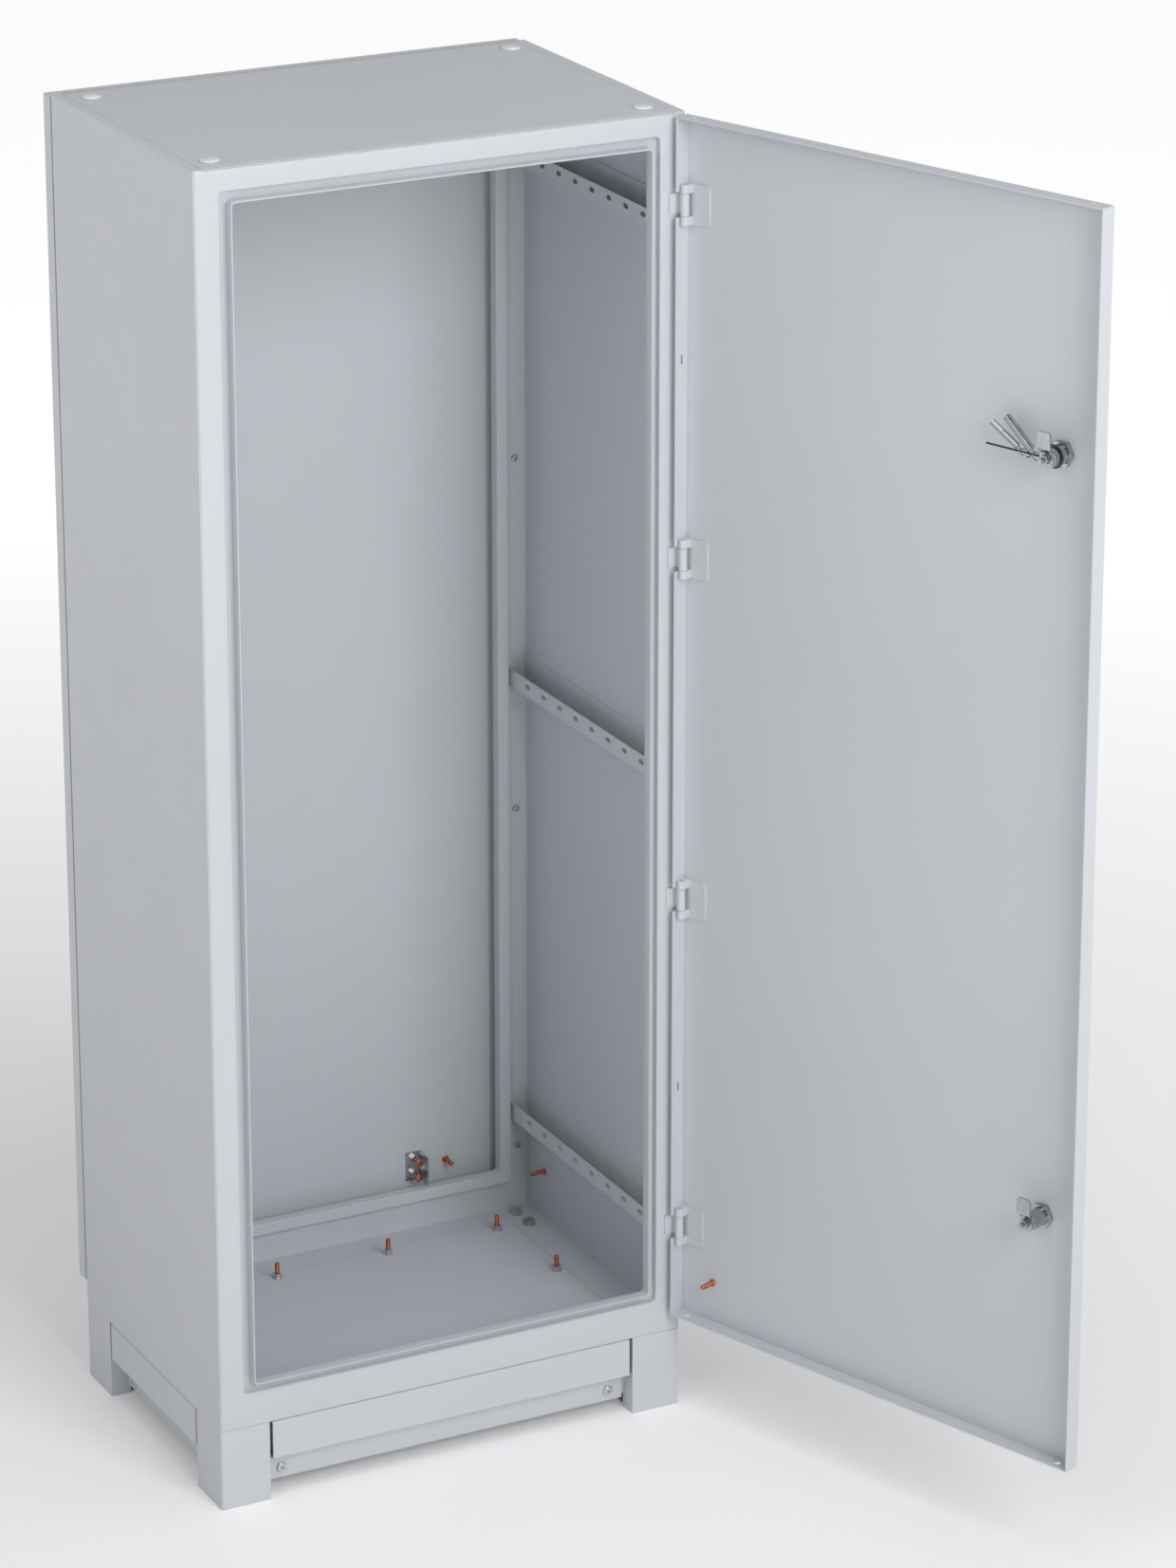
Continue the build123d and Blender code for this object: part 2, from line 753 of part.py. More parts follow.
face_y = -tray_face_y
escutcheon_y = face_y - escutcheon_thickness
core_head_y = escutcheon_y - core_head_thickness
square_end_y = cam_y + cam_thickness
core_end_y = square_end_y + core_stud_length

for level, lock_name in ((lower_lock_z, "lower_lock"), (upper_lock_z, "upper_lock")):
    with BuildPart() as barrel:
        round_boss(escutcheon_radius, escutcheon_y, face_y, level)
        round_boss(barrel_radius, face_y, cam_y, level)
        round_boss(core_radius + core_fit, escutcheon_y, cam_y, level, Mode.SUBTRACT)
    save_on_door(barrel.part, f"{lock_name}_barrel")

    with BuildPart() as ring_nut:
        with BuildSketch(facing_front(-tray_inner_y)):
            with Locations((lock_x, level)):
                RegularPolygon(ring_nut_across_flats / 2, 6, major_radius=False)
                Circle(barrel_radius + barrel_clearance, mode=Mode.SUBTRACT)
        extrude(amount=-ring_nut_thickness)
    save_on_door(ring_nut.part, f"{lock_name}_ring_nut")

    with BuildPart() as core:
        round_boss(core_head_radius, core_head_y, escutcheon_y, level)
        round_boss(core_radius, escutcheon_y, cam_y, level)
        with BuildSketch(facing_front(cam_y)):
            with Locations((lock_x, level)):
                Rectangle(square_side, square_side)
        extrude(amount=-cam_thickness)
        round_boss(core_stud_radius, square_end_y, core_end_y, level)
        socket_end_y = core_head_y + key_socket_depth
        round_boss(key_socket_radius, core_head_y, socket_end_y, level, Mode.SUBTRACT)
        round_boss(key_socket_pin_radius, core_head_y, socket_end_y, level)
    save_on_door(core.part, f"{lock_name}_core")

    with BuildPart() as cam:
        with BuildSketch(Plane.YZ.offset(lock_x - cam_width / 2)):
            with BuildLine():
                Polyline(
                    (cam_y, level - cam_width / 2),
                    (cam_y, level + cam_joggle_start),
                    (cam_y + cam_joggle, level + cam_joggle_end),
                    (cam_y + cam_joggle, level + cam_reach),
                    (cam_y + cam_joggle + cam_thickness, level + cam_reach),
                    (cam_y + cam_joggle + cam_thickness, level + cam_joggle_end),
                    (cam_y + cam_thickness, level + cam_joggle_start),
                    (cam_y + cam_thickness, level - cam_width / 2),
                    close=True,
                )
            make_face()
        extrude(amount=cam_width)
        cam_corners = cam.edges().filter_by(Axis.Y)
        fillet(cam_corners.group_by(Axis.Z)[0], cam_width * 0.45)
        fillet(cam.edges().filter_by(Axis.Y).group_by(Axis.Z)[-1], cam_width * 0.2)
        with BuildSketch(facing_front(cam_y)):
            with Locations((lock_x, level)):
                Rectangle(square_side + 2 * square_clearance, square_side + 2 * square_clearance)
        extrude(amount=-cam_thickness, mode=Mode.SUBTRACT)
    save_on_door(cam.part, f"{lock_name}_cam")

    with BuildPart() as cam_nut:
        with BuildSketch(facing_front(square_end_y)):
            with Locations((lock_x, level)):
                RegularPolygon(cam_nut_across_flats / 2, 6, major_radius=False)
                Circle(core_stud_radius + thread_clearance, mode=Mode.SUBTRACT)
        extrude(amount=-cam_nut_thickness)
    save_on_door(cam_nut.part, f"{lock_name}_cam_nut")

# ---------------------------------------------------------------- keys on their tie
tie_y = -tray_inner_y + tie_from_panel
tie_z = upper_lock_z - tie_tail_drop
tie_loop_radius = barrel_radius + tie_clearance + tie_radius

with BuildPart() as key_tie:
    with BuildSketch(Plane.YZ.offset(lock_x)):
        with Locations((tie_y, upper_lock_z + tie_loop_radius)):
            Circle(tie_radius)
    revolve(axis=Axis((lock_x, tie_y, upper_lock_z), (0, 1, 0)), revolution_arc=360)
    with BuildSketch(Plane.YZ.offset(lock_x + tie_loop_radius)):
        with Locations((tie_y, tie_z)):
            Circle(tie_radius)
    extrude(amount=tie_tail - tie_loop_radius)
save_on_door(key_tie.part, "key_tie")

with BuildPart() as lock_keys:
    for along, angle, shaft_radius, shaft_length in key_list:
        slope = math.radians(angle)
        key_direction = (math.cos(slope), 0, math.sin(slope))
        bow_rise = key_bow_radius * math.sin(slope) - key_bow_wire - tie_radius - key_seat_gap
        bow_centre = (lock_x + along, tie_y, tie_z - bow_rise)
        bow_normal = (-math.sin(slope), 0, math.cos(slope))
        bow_plane = Plane(origin=bow_centre, x_dir=key_direction, z_dir=bow_normal)
        bow = Torus(key_bow_radius, key_bow_wire, mode=Mode.PRIVATE)
        add(bow_plane * bow)
        neck_start = tuple(c + key_bow_radius * d for c, d in zip(bow_centre, key_direction))
        with BuildSketch(Plane(origin=neck_start, z_dir=key_direction)) as neck:
            Circle(key_neck_radius)
        extrude(neck.sketch, amount=key_neck_length)
        shaft_start = tuple(c + key_neck_length * d for c, d in zip(neck_start, key_direction))
        with BuildSketch(Plane(origin=shaft_start, z_dir=key_direction)) as shaft:
            Circle(shaft_radius)
        extrude(shaft.sketch, amount=shaft_length)
        shaft_end = tuple(c + shaft_length * d for c, d in zip(shaft_start, key_direction))
        with BuildSketch(Plane(origin=shaft_end, z_dir=key_direction)) as key_bore:
            Circle(shaft_radius * 0.6)
        extrude(key_bore.sketch, amount=-key_bore_depth, mode=Mode.SUBTRACT)
save_on_door(lock_keys.part, "lock_keys")


# ---------------------------------------------------------------- plinth
leg_inner_x = half_width - leg_front
leg_inner_y = half_depth - leg_side
tab_x = half_width - cover_setback - cover_thickness
tab_y = half_depth - cover_setback - cover_thickness

with BuildPart() as corner_leg:
    with BuildSketch():
        with BuildLine():
            Polyline(
                (leg_inner_x - leg_tab, tab_y),
                (leg_inner_x, tab_y),
                (leg_inner_x, half_depth),
                (half_width, half_depth),
                (half_width, leg_inner_y),
                (tab_x, leg_inner_y),
                (tab_x, leg_inner_y - leg_tab),
                (tab_x - leg_thickness, leg_inner_y - leg_tab),
                (tab_x - leg_thickness, leg_inner_y + leg_thickness),
                (half_width - leg_thickness, leg_inner_y + leg_thickness),
                (half_width - leg_thickness, half_depth - leg_thickness),
                (leg_inner_x + leg_thickness, half_depth - leg_thickness),
                (leg_inner_x + leg_thickness, tab_y - leg_thickness),
                (leg_inner_x - leg_tab, tab_y - leg_thickness),
                close=True,
            )
        make_face()
    extrude(amount=plinth_height)
    with BuildSketch():
        with Locations((leg_inner_x - leg_tab / 2, tab_y - leg_thickness / 2)):
            Rectangle(leg_tab, leg_thickness)
        with Locations((tab_x - leg_thickness / 2, leg_inner_y - leg_tab / 2)):
            Rectangle(leg_thickness, leg_tab)
    extrude(amount=cover_bottom_z + leg_tab_rise, mode=Mode.SUBTRACT)
    bend = corner_leg.edges().filter_by(Axis.Z).sort_by(lambda edge: edge.center().X + edge.center().Y)[-1]
    fillet(bend, leg_bend_radius)
    plate_x = half_width - leg_thickness
    plate_y = half_depth - leg_thickness
    for level in (0, plinth_height - leg_thickness):
        with BuildSketch(Plane.XY.offset(level)):
            with BuildLine():
                Polyline(
                    (leg_inner_x + leg_thickness, plate_y),
                    (leg_inner_x + leg_thickness, leg_inner_y + leg_thickness),
                    (plate_x, leg_inner_y + leg_thickness),
                    (plate_x, plate_y),
                    close=True,
                )
            make_face()
        extrude(amount=leg_thickness)
    with BuildSketch():
        with Locations((anchor_x, anchor_y)):
            Circle(anchor_hole_radius)
    extrude(amount=leg_thickness, mode=Mode.SUBTRACT)
    with BuildSketch(Plane.XY.offset(plinth_height)):
        with Locations((body_bolt_x, body_bolt_far_y), (body_bolt_x, body_bolt_near_y)):
            Circle(body_bolt_radius + body_bolt_clearance)
    extrude(amount=-leg_thickness, mode=Mode.SUBTRACT)
    screw_x = leg_inner_x - cover_screw_inset
    screw_y = leg_inner_y - cover_screw_inset
    with BuildSketch(facing_front(tab_y)):
        with Locations((screw_x, cover_screw_z)):
            Circle(plinth_screw_radius + thread_clearance)
    extrude(amount=leg_thickness, mode=Mode.SUBTRACT)
    with BuildSketch(Plane.YZ.offset(tab_x)):
        with Locations((screw_y, cover_screw_z)):
            Circle(plinth_screw_radius + thread_clearance)
    extrude(amount=-leg_thickness, mode=Mode.SUBTRACT)

rear_right_leg = corner_leg.part
rear_left_leg = mirror(rear_right_leg, about=Plane.YZ)
front_right_leg = mirror(rear_right_leg, about=Plane.XZ)
front_left_leg = mirror(rear_left_leg, about=Plane.XZ)
for leg, leg_name in (
    (rear_right_leg, "rear_right"),
    (rear_left_leg, "rear_left"),
    (front_right_leg, "front_right"),
    (front_left_leg, "front_left"),
):
    save(leg, f"{leg_name}_leg")


def plinth_cover(face, half_length, screw_offset):
    """Folded cover between two legs, standing at the given distance in front of the sketch axis."""
    top = plinth_height - cover_top_gap
    low_face = face - cover_setback
    with BuildPart() as cover:
        with BuildSketch(Plane.YZ.offset(-half_length)) as section:
            with BuildLine():
                Polyline(
                    (-face + cover_top_flange, top),
                    (-face, top),
                    (-face, cover_joggle_high_z),
                    (-low_face, cover_joggle_low_z),
                    (-low_face, cover_bottom_z),
                    (-low_face + cover_thickness, cover_bottom_z),
                    (-low_face + cover_thickness, cover_joggle_low_z + cover_thickness),
                    (-face + cover_thickness, cover_joggle_high_z + cover_thickness),
                    (-face + cover_thickness, top - cover_thickness),
                    (-face + cover_top_flange, top - cover_thickness),
                    close=True,
                )
            make_face()
        extrude(section.sketch, amount=2 * half_length)
        top_edge = cover.edges().filter_by(Axis.X).group_by(Axis.Y)[0].sort_by(Axis.Z)[-1]
        fillet(top_edge, leg_bend_radius)
        with BuildSketch(facing_front(-low_face)) as screw_holes:
            with Locations((-screw_offset, cover_screw_z), (screw_offset, cover_screw_z)):
                Circle(plinth_screw_radius + thread_clearance)
        extrude(screw_holes.sketch, amount=-cover_thickness, mode=Mode.SUBTRACT)
    return cover.part


front_cover = plinth_cover(half_depth, leg_inner_x - cover_gap, leg_inner_x - cover_screw_inset)
side_cover = plinth_cover(half_width, leg_inner_y - cover_gap, leg_inner_y - cover_screw_inset)
save(front_cover, "front_plinth_cover")
save(front_cover.rotate(Axis.Z, 180), "rear_plinth_cover")
save(side_cover.rotate(Axis.Z, -90), "left_plinth_cover")
save(side_cover.rotate(Axis.Z, 90), "right_plinth_cover")

screw_reach = cover_thickness + leg_thickness
with BuildPart() as plinth_cover_screws:
    for sx, sy in leg_corners:
        for base, direction in (
            ((sx * screw_x, sy * (tab_y + cover_thickness), cover_screw_z), (0, sy, 0)),
            ((sx * (tab_x + cover_thickness), sy * screw_y, cover_screw_z), (sx, 0, 0)),
        ):
            with BuildSketch(Plane(origin=base, z_dir=direction)) as screw_head:
                Circle(plinth_screw_head_radius)
            extrude(screw_head.sketch, amount=plinth_screw_head)
            with BuildSketch(Plane(origin=base, z_dir=direction)) as screw_shank:
                Circle(plinth_screw_radius)
            extrude(screw_shank.sketch, amount=-screw_reach)
save(plinth_cover_screws.part, "plinth_cover_screws")

body_bolt_grip = sheet + leg_thickness + m6_nut_thickness
with BuildPart() as body_bolts:
    for level, radius, height in (
        (floor_top_z, body_bolt_washer_radius, body_bolt_washer),
        (floor_top_z - body_bolt_grip, body_bolt_radius, body_bolt_grip),
    ):
        with BuildSketch(Plane.XY.offset(level)) as disc:
            with Locations(*body_bolt_places):
                Circle(radius)
        extrude(disc.sketch, amount=height)
    with BuildSketch(Plane.XY.offset(floor_top_z + body_bolt_washer)) as bolt_head:
        with Locations(*body_bolt_places):
            RegularPolygon(body_bolt_across_flats / 2, 6, major_radius=False)
    extrude(bolt_head.sketch, amount=body_bolt_head)
save(body_bolts.part, "body_to_plinth_bolts")
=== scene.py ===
import json
import math

import bmesh
import bpy
import numpy as np
from mathutils import Matrix, Vector


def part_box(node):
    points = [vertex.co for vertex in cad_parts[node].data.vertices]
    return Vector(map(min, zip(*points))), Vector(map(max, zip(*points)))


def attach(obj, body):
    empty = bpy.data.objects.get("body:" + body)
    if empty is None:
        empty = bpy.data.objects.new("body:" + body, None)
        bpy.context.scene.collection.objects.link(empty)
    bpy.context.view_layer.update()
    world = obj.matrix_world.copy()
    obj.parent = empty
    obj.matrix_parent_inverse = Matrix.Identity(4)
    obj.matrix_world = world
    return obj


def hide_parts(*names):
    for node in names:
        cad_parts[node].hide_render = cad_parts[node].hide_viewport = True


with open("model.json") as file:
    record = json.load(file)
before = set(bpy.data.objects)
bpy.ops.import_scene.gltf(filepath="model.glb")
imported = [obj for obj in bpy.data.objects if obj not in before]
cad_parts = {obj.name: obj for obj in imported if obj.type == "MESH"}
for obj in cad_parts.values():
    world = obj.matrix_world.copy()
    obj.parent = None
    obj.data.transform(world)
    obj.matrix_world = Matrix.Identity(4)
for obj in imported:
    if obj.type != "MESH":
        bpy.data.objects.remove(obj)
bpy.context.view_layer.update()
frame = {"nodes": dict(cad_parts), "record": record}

nodes = frame["nodes"]
scene = bpy.context.scene


# ---------------------------------------------------------------- camera, floor and light
CAMERA_PLACE = (-2.632, -5.623, 3.097)
CAMERA_YAW, CAMERA_PITCH = 27.39, 18.24
CAMERA_LENS, CAMERA_SHIFT = 129.8, -0.14


def look_camera():
    yaw, pitch = math.radians(CAMERA_YAW), math.radians(CAMERA_PITCH)
    ahead = Vector((math.sin(yaw) * math.cos(pitch), math.cos(yaw) * math.cos(pitch), -math.sin(pitch)))
    data = bpy.data.cameras.new("camera")
    data.lens = CAMERA_LENS
    data.shift_y = CAMERA_SHIFT
    data.clip_start = 0.1
    data.clip_end = 100
    camera = bpy.data.objects.new("camera", data)
    camera.location = CAMERA_PLACE
    camera.rotation_mode = "QUATERNION"
    camera.rotation_quaternion = ahead.to_track_quat("-Z", "Y")
    scene.collection.objects.link(camera)
    scene.camera = camera


def area_light(name, place, target, size, power, tint=(1, 1, 1)):
    data = bpy.data.lights.new(name, "AREA")
    data.shape = "RECTANGLE"
    data.size, data.size_y = size
    data.energy = power
    data.color = tint
    light = bpy.data.objects.new(name, data)
    light.location = place
    light.rotation_euler = (Vector(target) - Vector(place)).to_track_quat("-Z", "Y").to_euler()
    scene.collection.objects.link(light)


def surroundings():
    world = bpy.data.worlds.new("studio")
    world.use_nodes = True
    background = world.node_tree.nodes["Background"]
    background.inputs["Color"].default_value = (0.985, 0.99, 1.0, 1)
    background.inputs["Strength"].default_value = 0.35
    scene.world = world
    area_light("key", (0.5, -5.1, 3.3), (0.0, 0, 0.8), (2.4, 2.8), 137)
    area_light("fill", (-3.1, -1.5, 3.4), (0, -0.1, 1.2), (1.8, 1.8), 17)
    area_light("overhead", (0.1, -0.6, 4.4), (0, 0, 1.2), (2.6, 2.0), 26)
    bpy.ops.mesh.primitive_plane_add(size=60, location=(0, 0, 0))
    floor = bpy.context.object
    floor.name = "studio_floor"
    floor.data.materials.append(glowing_floor_finish())
    scene.view_settings.view_transform = "Standard"
    scene.view_settings.look = "None"


# ---------------------------------------------------------------- materials
class Finish:
    """A node material built up from noise, with its colour, roughness and relief from nodes."""

    def __init__(self, name):
        self.material = bpy.data.materials.new(name)
        self.material.use_nodes = True
        self.tree = self.material.node_tree
        self.shader = self.tree.nodes["Principled BSDF"]
        self.place = self.tree.nodes.new("ShaderNodeTexCoord").outputs["Object"]

    def noise(self, scale, detail=2.0, roughness=0.5, stretch=None):
        node = self.tree.nodes.new("ShaderNodeTexNoise")
        node.inputs["Scale"].default_value = scale
        node.inputs["Detail"].default_value = detail
        node.inputs["Roughness"].default_value = roughness
        if stretch:
            mapping = self.tree.nodes.new("ShaderNodeMapping")
            mapping.inputs["Scale"].default_value = stretch
            self.tree.links.new(self.place, mapping.inputs["Vector"])
            self.tree.links.new(mapping.outputs["Vector"], node.inputs["Vector"])
        else:
            self.tree.links.new(self.place, node.inputs["Vector"])
        return node.outputs["Fac"]

    def spread(self, value, low, high, from_low=0.3, from_high=0.7):
        node = self.tree.nodes.new("ShaderNodeMapRange")
        node.inputs["From Min"].default_value = from_low
        node.inputs["From Max"].default_value = from_high
        node.inputs["To Min"].default_value = low
        node.inputs["To Max"].default_value = high
        self.tree.links.new(value, node.inputs["Value"])
        return node.outputs["Result"]

    def mix(self, factor, one, other):
        node = self.tree.nodes.new("ShaderNodeMix")
        node.data_type = "RGBA"
        self.tree.links.new(factor, node.inputs["Factor"])
        for socket, value in ((node.inputs["A"], one), (node.inputs["B"], other)):
            if isinstance(value, tuple):
                socket.default_value = (*value, 1)
            else:
                self.tree.links.new(value, socket)
        return node.outputs["Result"]

    def relief(self, height, distance, strength, under=None):
        node = self.tree.nodes.new("ShaderNodeBump")
        node.inputs["Distance"].default_value = distance
        node.inputs["Strength"].default_value = strength
        self.tree.links.new(height, node.inputs["Height"])
        if under is not None:
            self.tree.links.new(under, node.inputs["Normal"])
        return node.outputs["Normal"]

    def set(self, colour=None, roughness=None, normal=None, **fixed):
        for socket, value in (("Base Color", colour), ("Roughness", roughness), ("Normal", normal)):
            if value is not None:
                self.tree.links.new(value, self.shader.inputs[socket])
        for socket, value in fixed.items():
            self.shader.inputs[socket.replace("_", " ")].default_value = value
        return self.material


def powder_coat(name, light, dark, gloss=0.42):
    f = Finish(name)
    cloud = f.spread(f.noise(2.2, 3), 0, 1)
    speck = f.spread(f.noise(1500, 1), 0, 1, 0.35, 0.75)
    tone = f.mix(cloud, light, dark)
    tone = f.mix(f.spread(speck, 0, 0.07, 0, 1), tone, tuple(0.72 * c for c in dark))
    peel = f.relief(f.noise(620, 2, 0.45), 0.00009, 0.55)
    grit = f.relief(f.noise(2300, 2), 0.00003, 0.35, peel)
    return f.set(tone, f.spread(f.noise(55, 3), gloss - 0.05, gloss + 0.07), grit, IOR=1.5)


def plated(name, light, dark, low, high, scratch=0.0):
    f = Finish(name)
    tone = f.mix(f.spread(f.noise(170, 4, 0.6), 0, 1), light, dark)
    bright = f.spread(f.noise(420, 3), low, high)
    grain = f.relief(f.noise(1800, 2), 0.00002, 0.3)
    if scratch:
        grain = f.relief(f.noise(260, 3, 0.6, (1, 14, 1)), 0.00003, scratch, grain)
    return f.set(tone, bright, grain, Metallic=1.0)


def copper_plate():
    f = Finish("copper_plate")
    tone = f.mix(f.spread(f.noise(240, 4, 0.6), 0, 1), (0.70, 0.25, 0.14), (0.50, 0.14, 0.07))
    grain = f.relief(f.noise(1400, 2), 0.00003, 0.4)
    return f.set(tone, f.spread(f.noise(380, 3), 0.24, 0.42), grain, Metallic=1.0)


def foam_rubber():
    f = Finish("foam_rubber")
    tone = f.mix(f.spread(f.noise(300, 3), 0, 1), (0.018, 0.019, 0.02), (0.04, 0.041, 0.043))
    cells = f.relief(f.noise(1700, 3, 0.7), 0.0002, 0.7)
    return f.set(tone, f.spread(f.noise(200), 0.75, 0.9), cells)


def black_nylon():
    f = Finish("black_nylon")
    tone = f.mix(f.spread(f.noise(500, 2), 0, 1), (0.012, 0.012, 0.013), (0.028, 0.028, 0.03))
    return f.set(tone, f.spread(f.noise(260), 0.36, 0.5), f.relief(f.noise(1200, 2), 0.00003, 0.4))


def white_plastic():
    f = Finish("white_plastic")
    tone = f.mix(f.spread(f.noise(60, 2), 0, 1), (0.78, 0.79, 0.80), (0.70, 0.71, 0.73))
    return f.set(tone, f.spread(f.noise(120), 0.16, 0.24), f.relief(f.noise(900, 2), 0.00002, 0.25))


def glowing_floor_finish():
    """Near-white floor with painted light: it glows a little more the further it is from the cabinet, so it
    stays darker near the cabinet as painted shade.
    """
    near, far = 0.8, 3.6
    f = Finish("studio_floor")
    tone = f.mix(f.spread(f.noise(0.8, 2), 0, 1), (0.965, 0.965, 0.965), (0.95, 0.95, 0.95))
    distance = f.tree.nodes.new("ShaderNodeVectorMath")
    distance.operation = "LENGTH"
    f.tree.links.new(f.place, distance.inputs[0])
    # painted light: emission strength rises from 0.12 near the cabinet to 0.6 far off, leaving painted shade
    # close to it
    painted_glow = f.spread(distance.outputs["Value"], 0.12, 0.6, near, far)
    f.tree.links.new(painted_glow, f.shader.inputs["Emission Strength"])
    return f.set(tone, f.spread(f.noise(4, 2), 0.75, 0.85), Emission_Color=(1, 1, 1, 1))


look_camera()
surroundings()
body_coat = powder_coat("powder_coat", (0.602, 0.621, 0.655), (0.577, 0.596, 0.630))
finishes = {
    "powder_coat": body_coat,
    "zinc": plated("zinc_plate", (0.66, 0.67, 0.69), (0.50, 0.51, 0.54), 0.26, 0.42, 0.25),
    "chrome": plated("chrome_plate", (0.50, 0.51, 0.53), (0.38, 0.39, 0.41), 0.10, 0.22, 0.12),
    "copper": copper_plate(),
    "seal": foam_rubber(),
    "tie": black_nylon(),
    "plug": white_plastic(),
}
slot_of = {part["node"]: part["material_slot"] for part in frame["record"]["subparts"]}


# ---------------------------------------------------------------- mesh helpers
def add_piece(name, mesh, body, slot, *replaced, smooth_angle=38):
    mesh.set_sharp_from_angle(angle=math.radians(smooth_angle))
    piece = bpy.data.objects.new(name, mesh)
    scene.collection.objects.link(piece)
    mesh.materials.append(finishes[slot])
    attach(piece, body)
    if replaced:
        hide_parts(*replaced)
    return piece


def mesh_from(name, verts, faces):
    mesh = bpy.data.meshes.new(name)
    mesh.from_pydata([tuple(v) for v in verts], [], faces)
    work = bmesh.new()
    work.from_mesh(mesh)
    bmesh.ops.remove_doubles(work, verts=work.verts, dist=1e-7)
    bmesh.ops.recalc_face_normals(work, faces=work.faces)
    for face in work.faces:
        face.smooth = True
    work.to_mesh(mesh)
    work.free()
    return mesh


def join_meshes(name, parts):
    verts, faces = [], []
    for mesh in parts:
        start = len(verts)
        verts += [v.co.copy() for v in mesh.vertices]
        faces += [[start + i for i in p.vertices] for p in mesh.polygons]
        bpy.data.meshes.remove(mesh)
    return mesh_from(name, verts, faces)


def basis(axis):
    """Two unit vectors square to axis."""
    side = Vector((0, 0, 1)) if abs(axis.z) < 0.9 else Vector((1, 0, 0))
    u = axis.cross(side).normalized()
    return u, axis.cross(u).normalized()


def ring(centre, u, w, radius, turns):
    """Points round centre in the plane of u and w, at the given angles."""
    return [centre + (u * math.cos(t) + w * math.sin(t)) * radius for t in turns]


def full_turn(segments, start=0.0):
    return [2 * math.pi * i / segments + start for i in range(segments)]


def surface(rows, closed_rows=False):
    """Quads between rows of points that each run once round; a one-point row closes an end."""
    verts, starts = [], []
    for row in rows:
        starts.append(len(verts))
        verts += row
    faces = []
    pairs = list(zip(range(len(rows) - 1), range(1, len(rows))))
    if closed_rows:
        pairs.append((len(rows) - 1, 0))
    for a, b in pairs:
        m, n = len(rows[a]), len(rows[b])
        for i in range(max(m, n)):
            j = (i + 1) % max(m, n)
            quad = [starts[a] + i % m, starts[a] + j % m, starts[b] + j % n, starts[b] + i % n]
            faces.append(list(dict.fromkeys(quad)))
    return verts, faces


def lathe(base, axis, profile, segments=32):
    """Rows of a turned shape; profile holds (radius, height along the axis)."""
    u, w = basis(axis)
    rows = []
    for radius, height in profile:
        centre = base + axis * height
        if radius < 1e-6:
            rows.append([centre])
        else:
            rows.append(ring(centre, u, w, radius, full_turn(segments)))
    return surface(rows)


def islands(node):
    """Each separate solid of a CAD node as an array of its points."""
    work = bmesh.new()
    work.from_mesh(nodes[node].data)
    bmesh.ops.remove_doubles(work, verts=work.verts, dist=2e-6)
    work.verts.ensure_lookup_table()
    seen, groups = set(), []
    for first in work.verts:
        if first.index in seen:
            continue
        seen.add(first.index)
        queue, group = [first], []
        while queue:
            vert = queue.pop()
            group.append(tuple(vert.co))
            for edge in vert.link_edges:
                other = edge.other_vert(vert)
                if other.index not in seen:
                    seen.add(other.index)
                    queue.append(other)
        groups.append(np.array(group))
    work.free()
    return groups


def long_axis(points, towards=None):
    """(end a, unit axis, length) of a round solid; the axis leaves the end with the wider radius."""
    if towards is None:
        centred = points - (points.max(0) + points.min(0)) / 2
        axis = np.linalg.svd(centred - centred.mean(0), full_matrices=False)[2][0]
    else:
        axis = np.array(towards, float)
    along = points @ axis
    radial = points - np.outer(along, axis)
    middle = (radial.max(0) + radial.min(0)) / 2
    radius = np.linalg.norm(radial - middle, axis=1)
    near_low = radius[along < along.min() + 1e-4].max()
    near_high = radius[along > along.max() - 1e-4].max()
    if towards is None and near_high > near_low + 1e-4:
        axis, along = -axis, -along
    start = Vector(middle) + Vector(axis) * float(along.min())
    return start, Vector(axis), float(along.max() - along.min())


# ---------------------------------------------------------------- frames with folded gutters
SHEET = 0.0015
FACE_Y, ROOF_Z = -0.2, 1.6
GUTTER_X, GUTTER_LOW, GUTTER_HIGH = 0.269, 0.142, 1.573
GUTTER_WIDTH, GUTTER_DEPTH, LIP_PROUD = 0.011, 0.009, 0.005
GUTTER_RADIUS, LIP_RADIUS = 0.005, 0.0055
FACE_FOLD, GUTTER_FOLD, LIP_FOLD, BACK_FOLD = 0.0022, 0.0012, 0.0007, 0.001


def rounded_loop(half_x, low, high, radius, y, steps=9):
    points = []
    for corner, (sx, sz) in enumerate(((1, 1), (-1, 1), (-1, -1), (1, -1))):
        cx, cz = sx * (half_x - radius), (high - radius if sz > 0 else low + radius)
        for i in range(steps + 1):
            t = math.pi / 2 * (corner + i / steps)
            points.append(Vector((cx + radius * math.cos(t), y, cz + radius * math.sin(t))))
    return points


def arc(centre, radius, start, stop, steps=5):
    """Points (offset, y) on a bend, angles in degrees."""
    out = []
    for i in range(steps + 1):
        t = math.radians(start + (stop - start) * i / steps)
        out.append((centre[0] + radius * math.cos(t), centre[1] + radius * math.sin(t)))
    return out


def corner_radius(offset):
    """Corner radius of the frame's bends, offset metres in from the gutter's outer wall."""
    if offset < 0:
        return GUTTER_RADIUS - offset
    if offset > GUTTER_WIDTH:
        return LIP_RADIUS - (offset - GUTTER_WIDTH)
    return GUTTER_RADIUS + (LIP_RADIUS - GUTTER_RADIUS) * offset / GUTTER_WIDTH


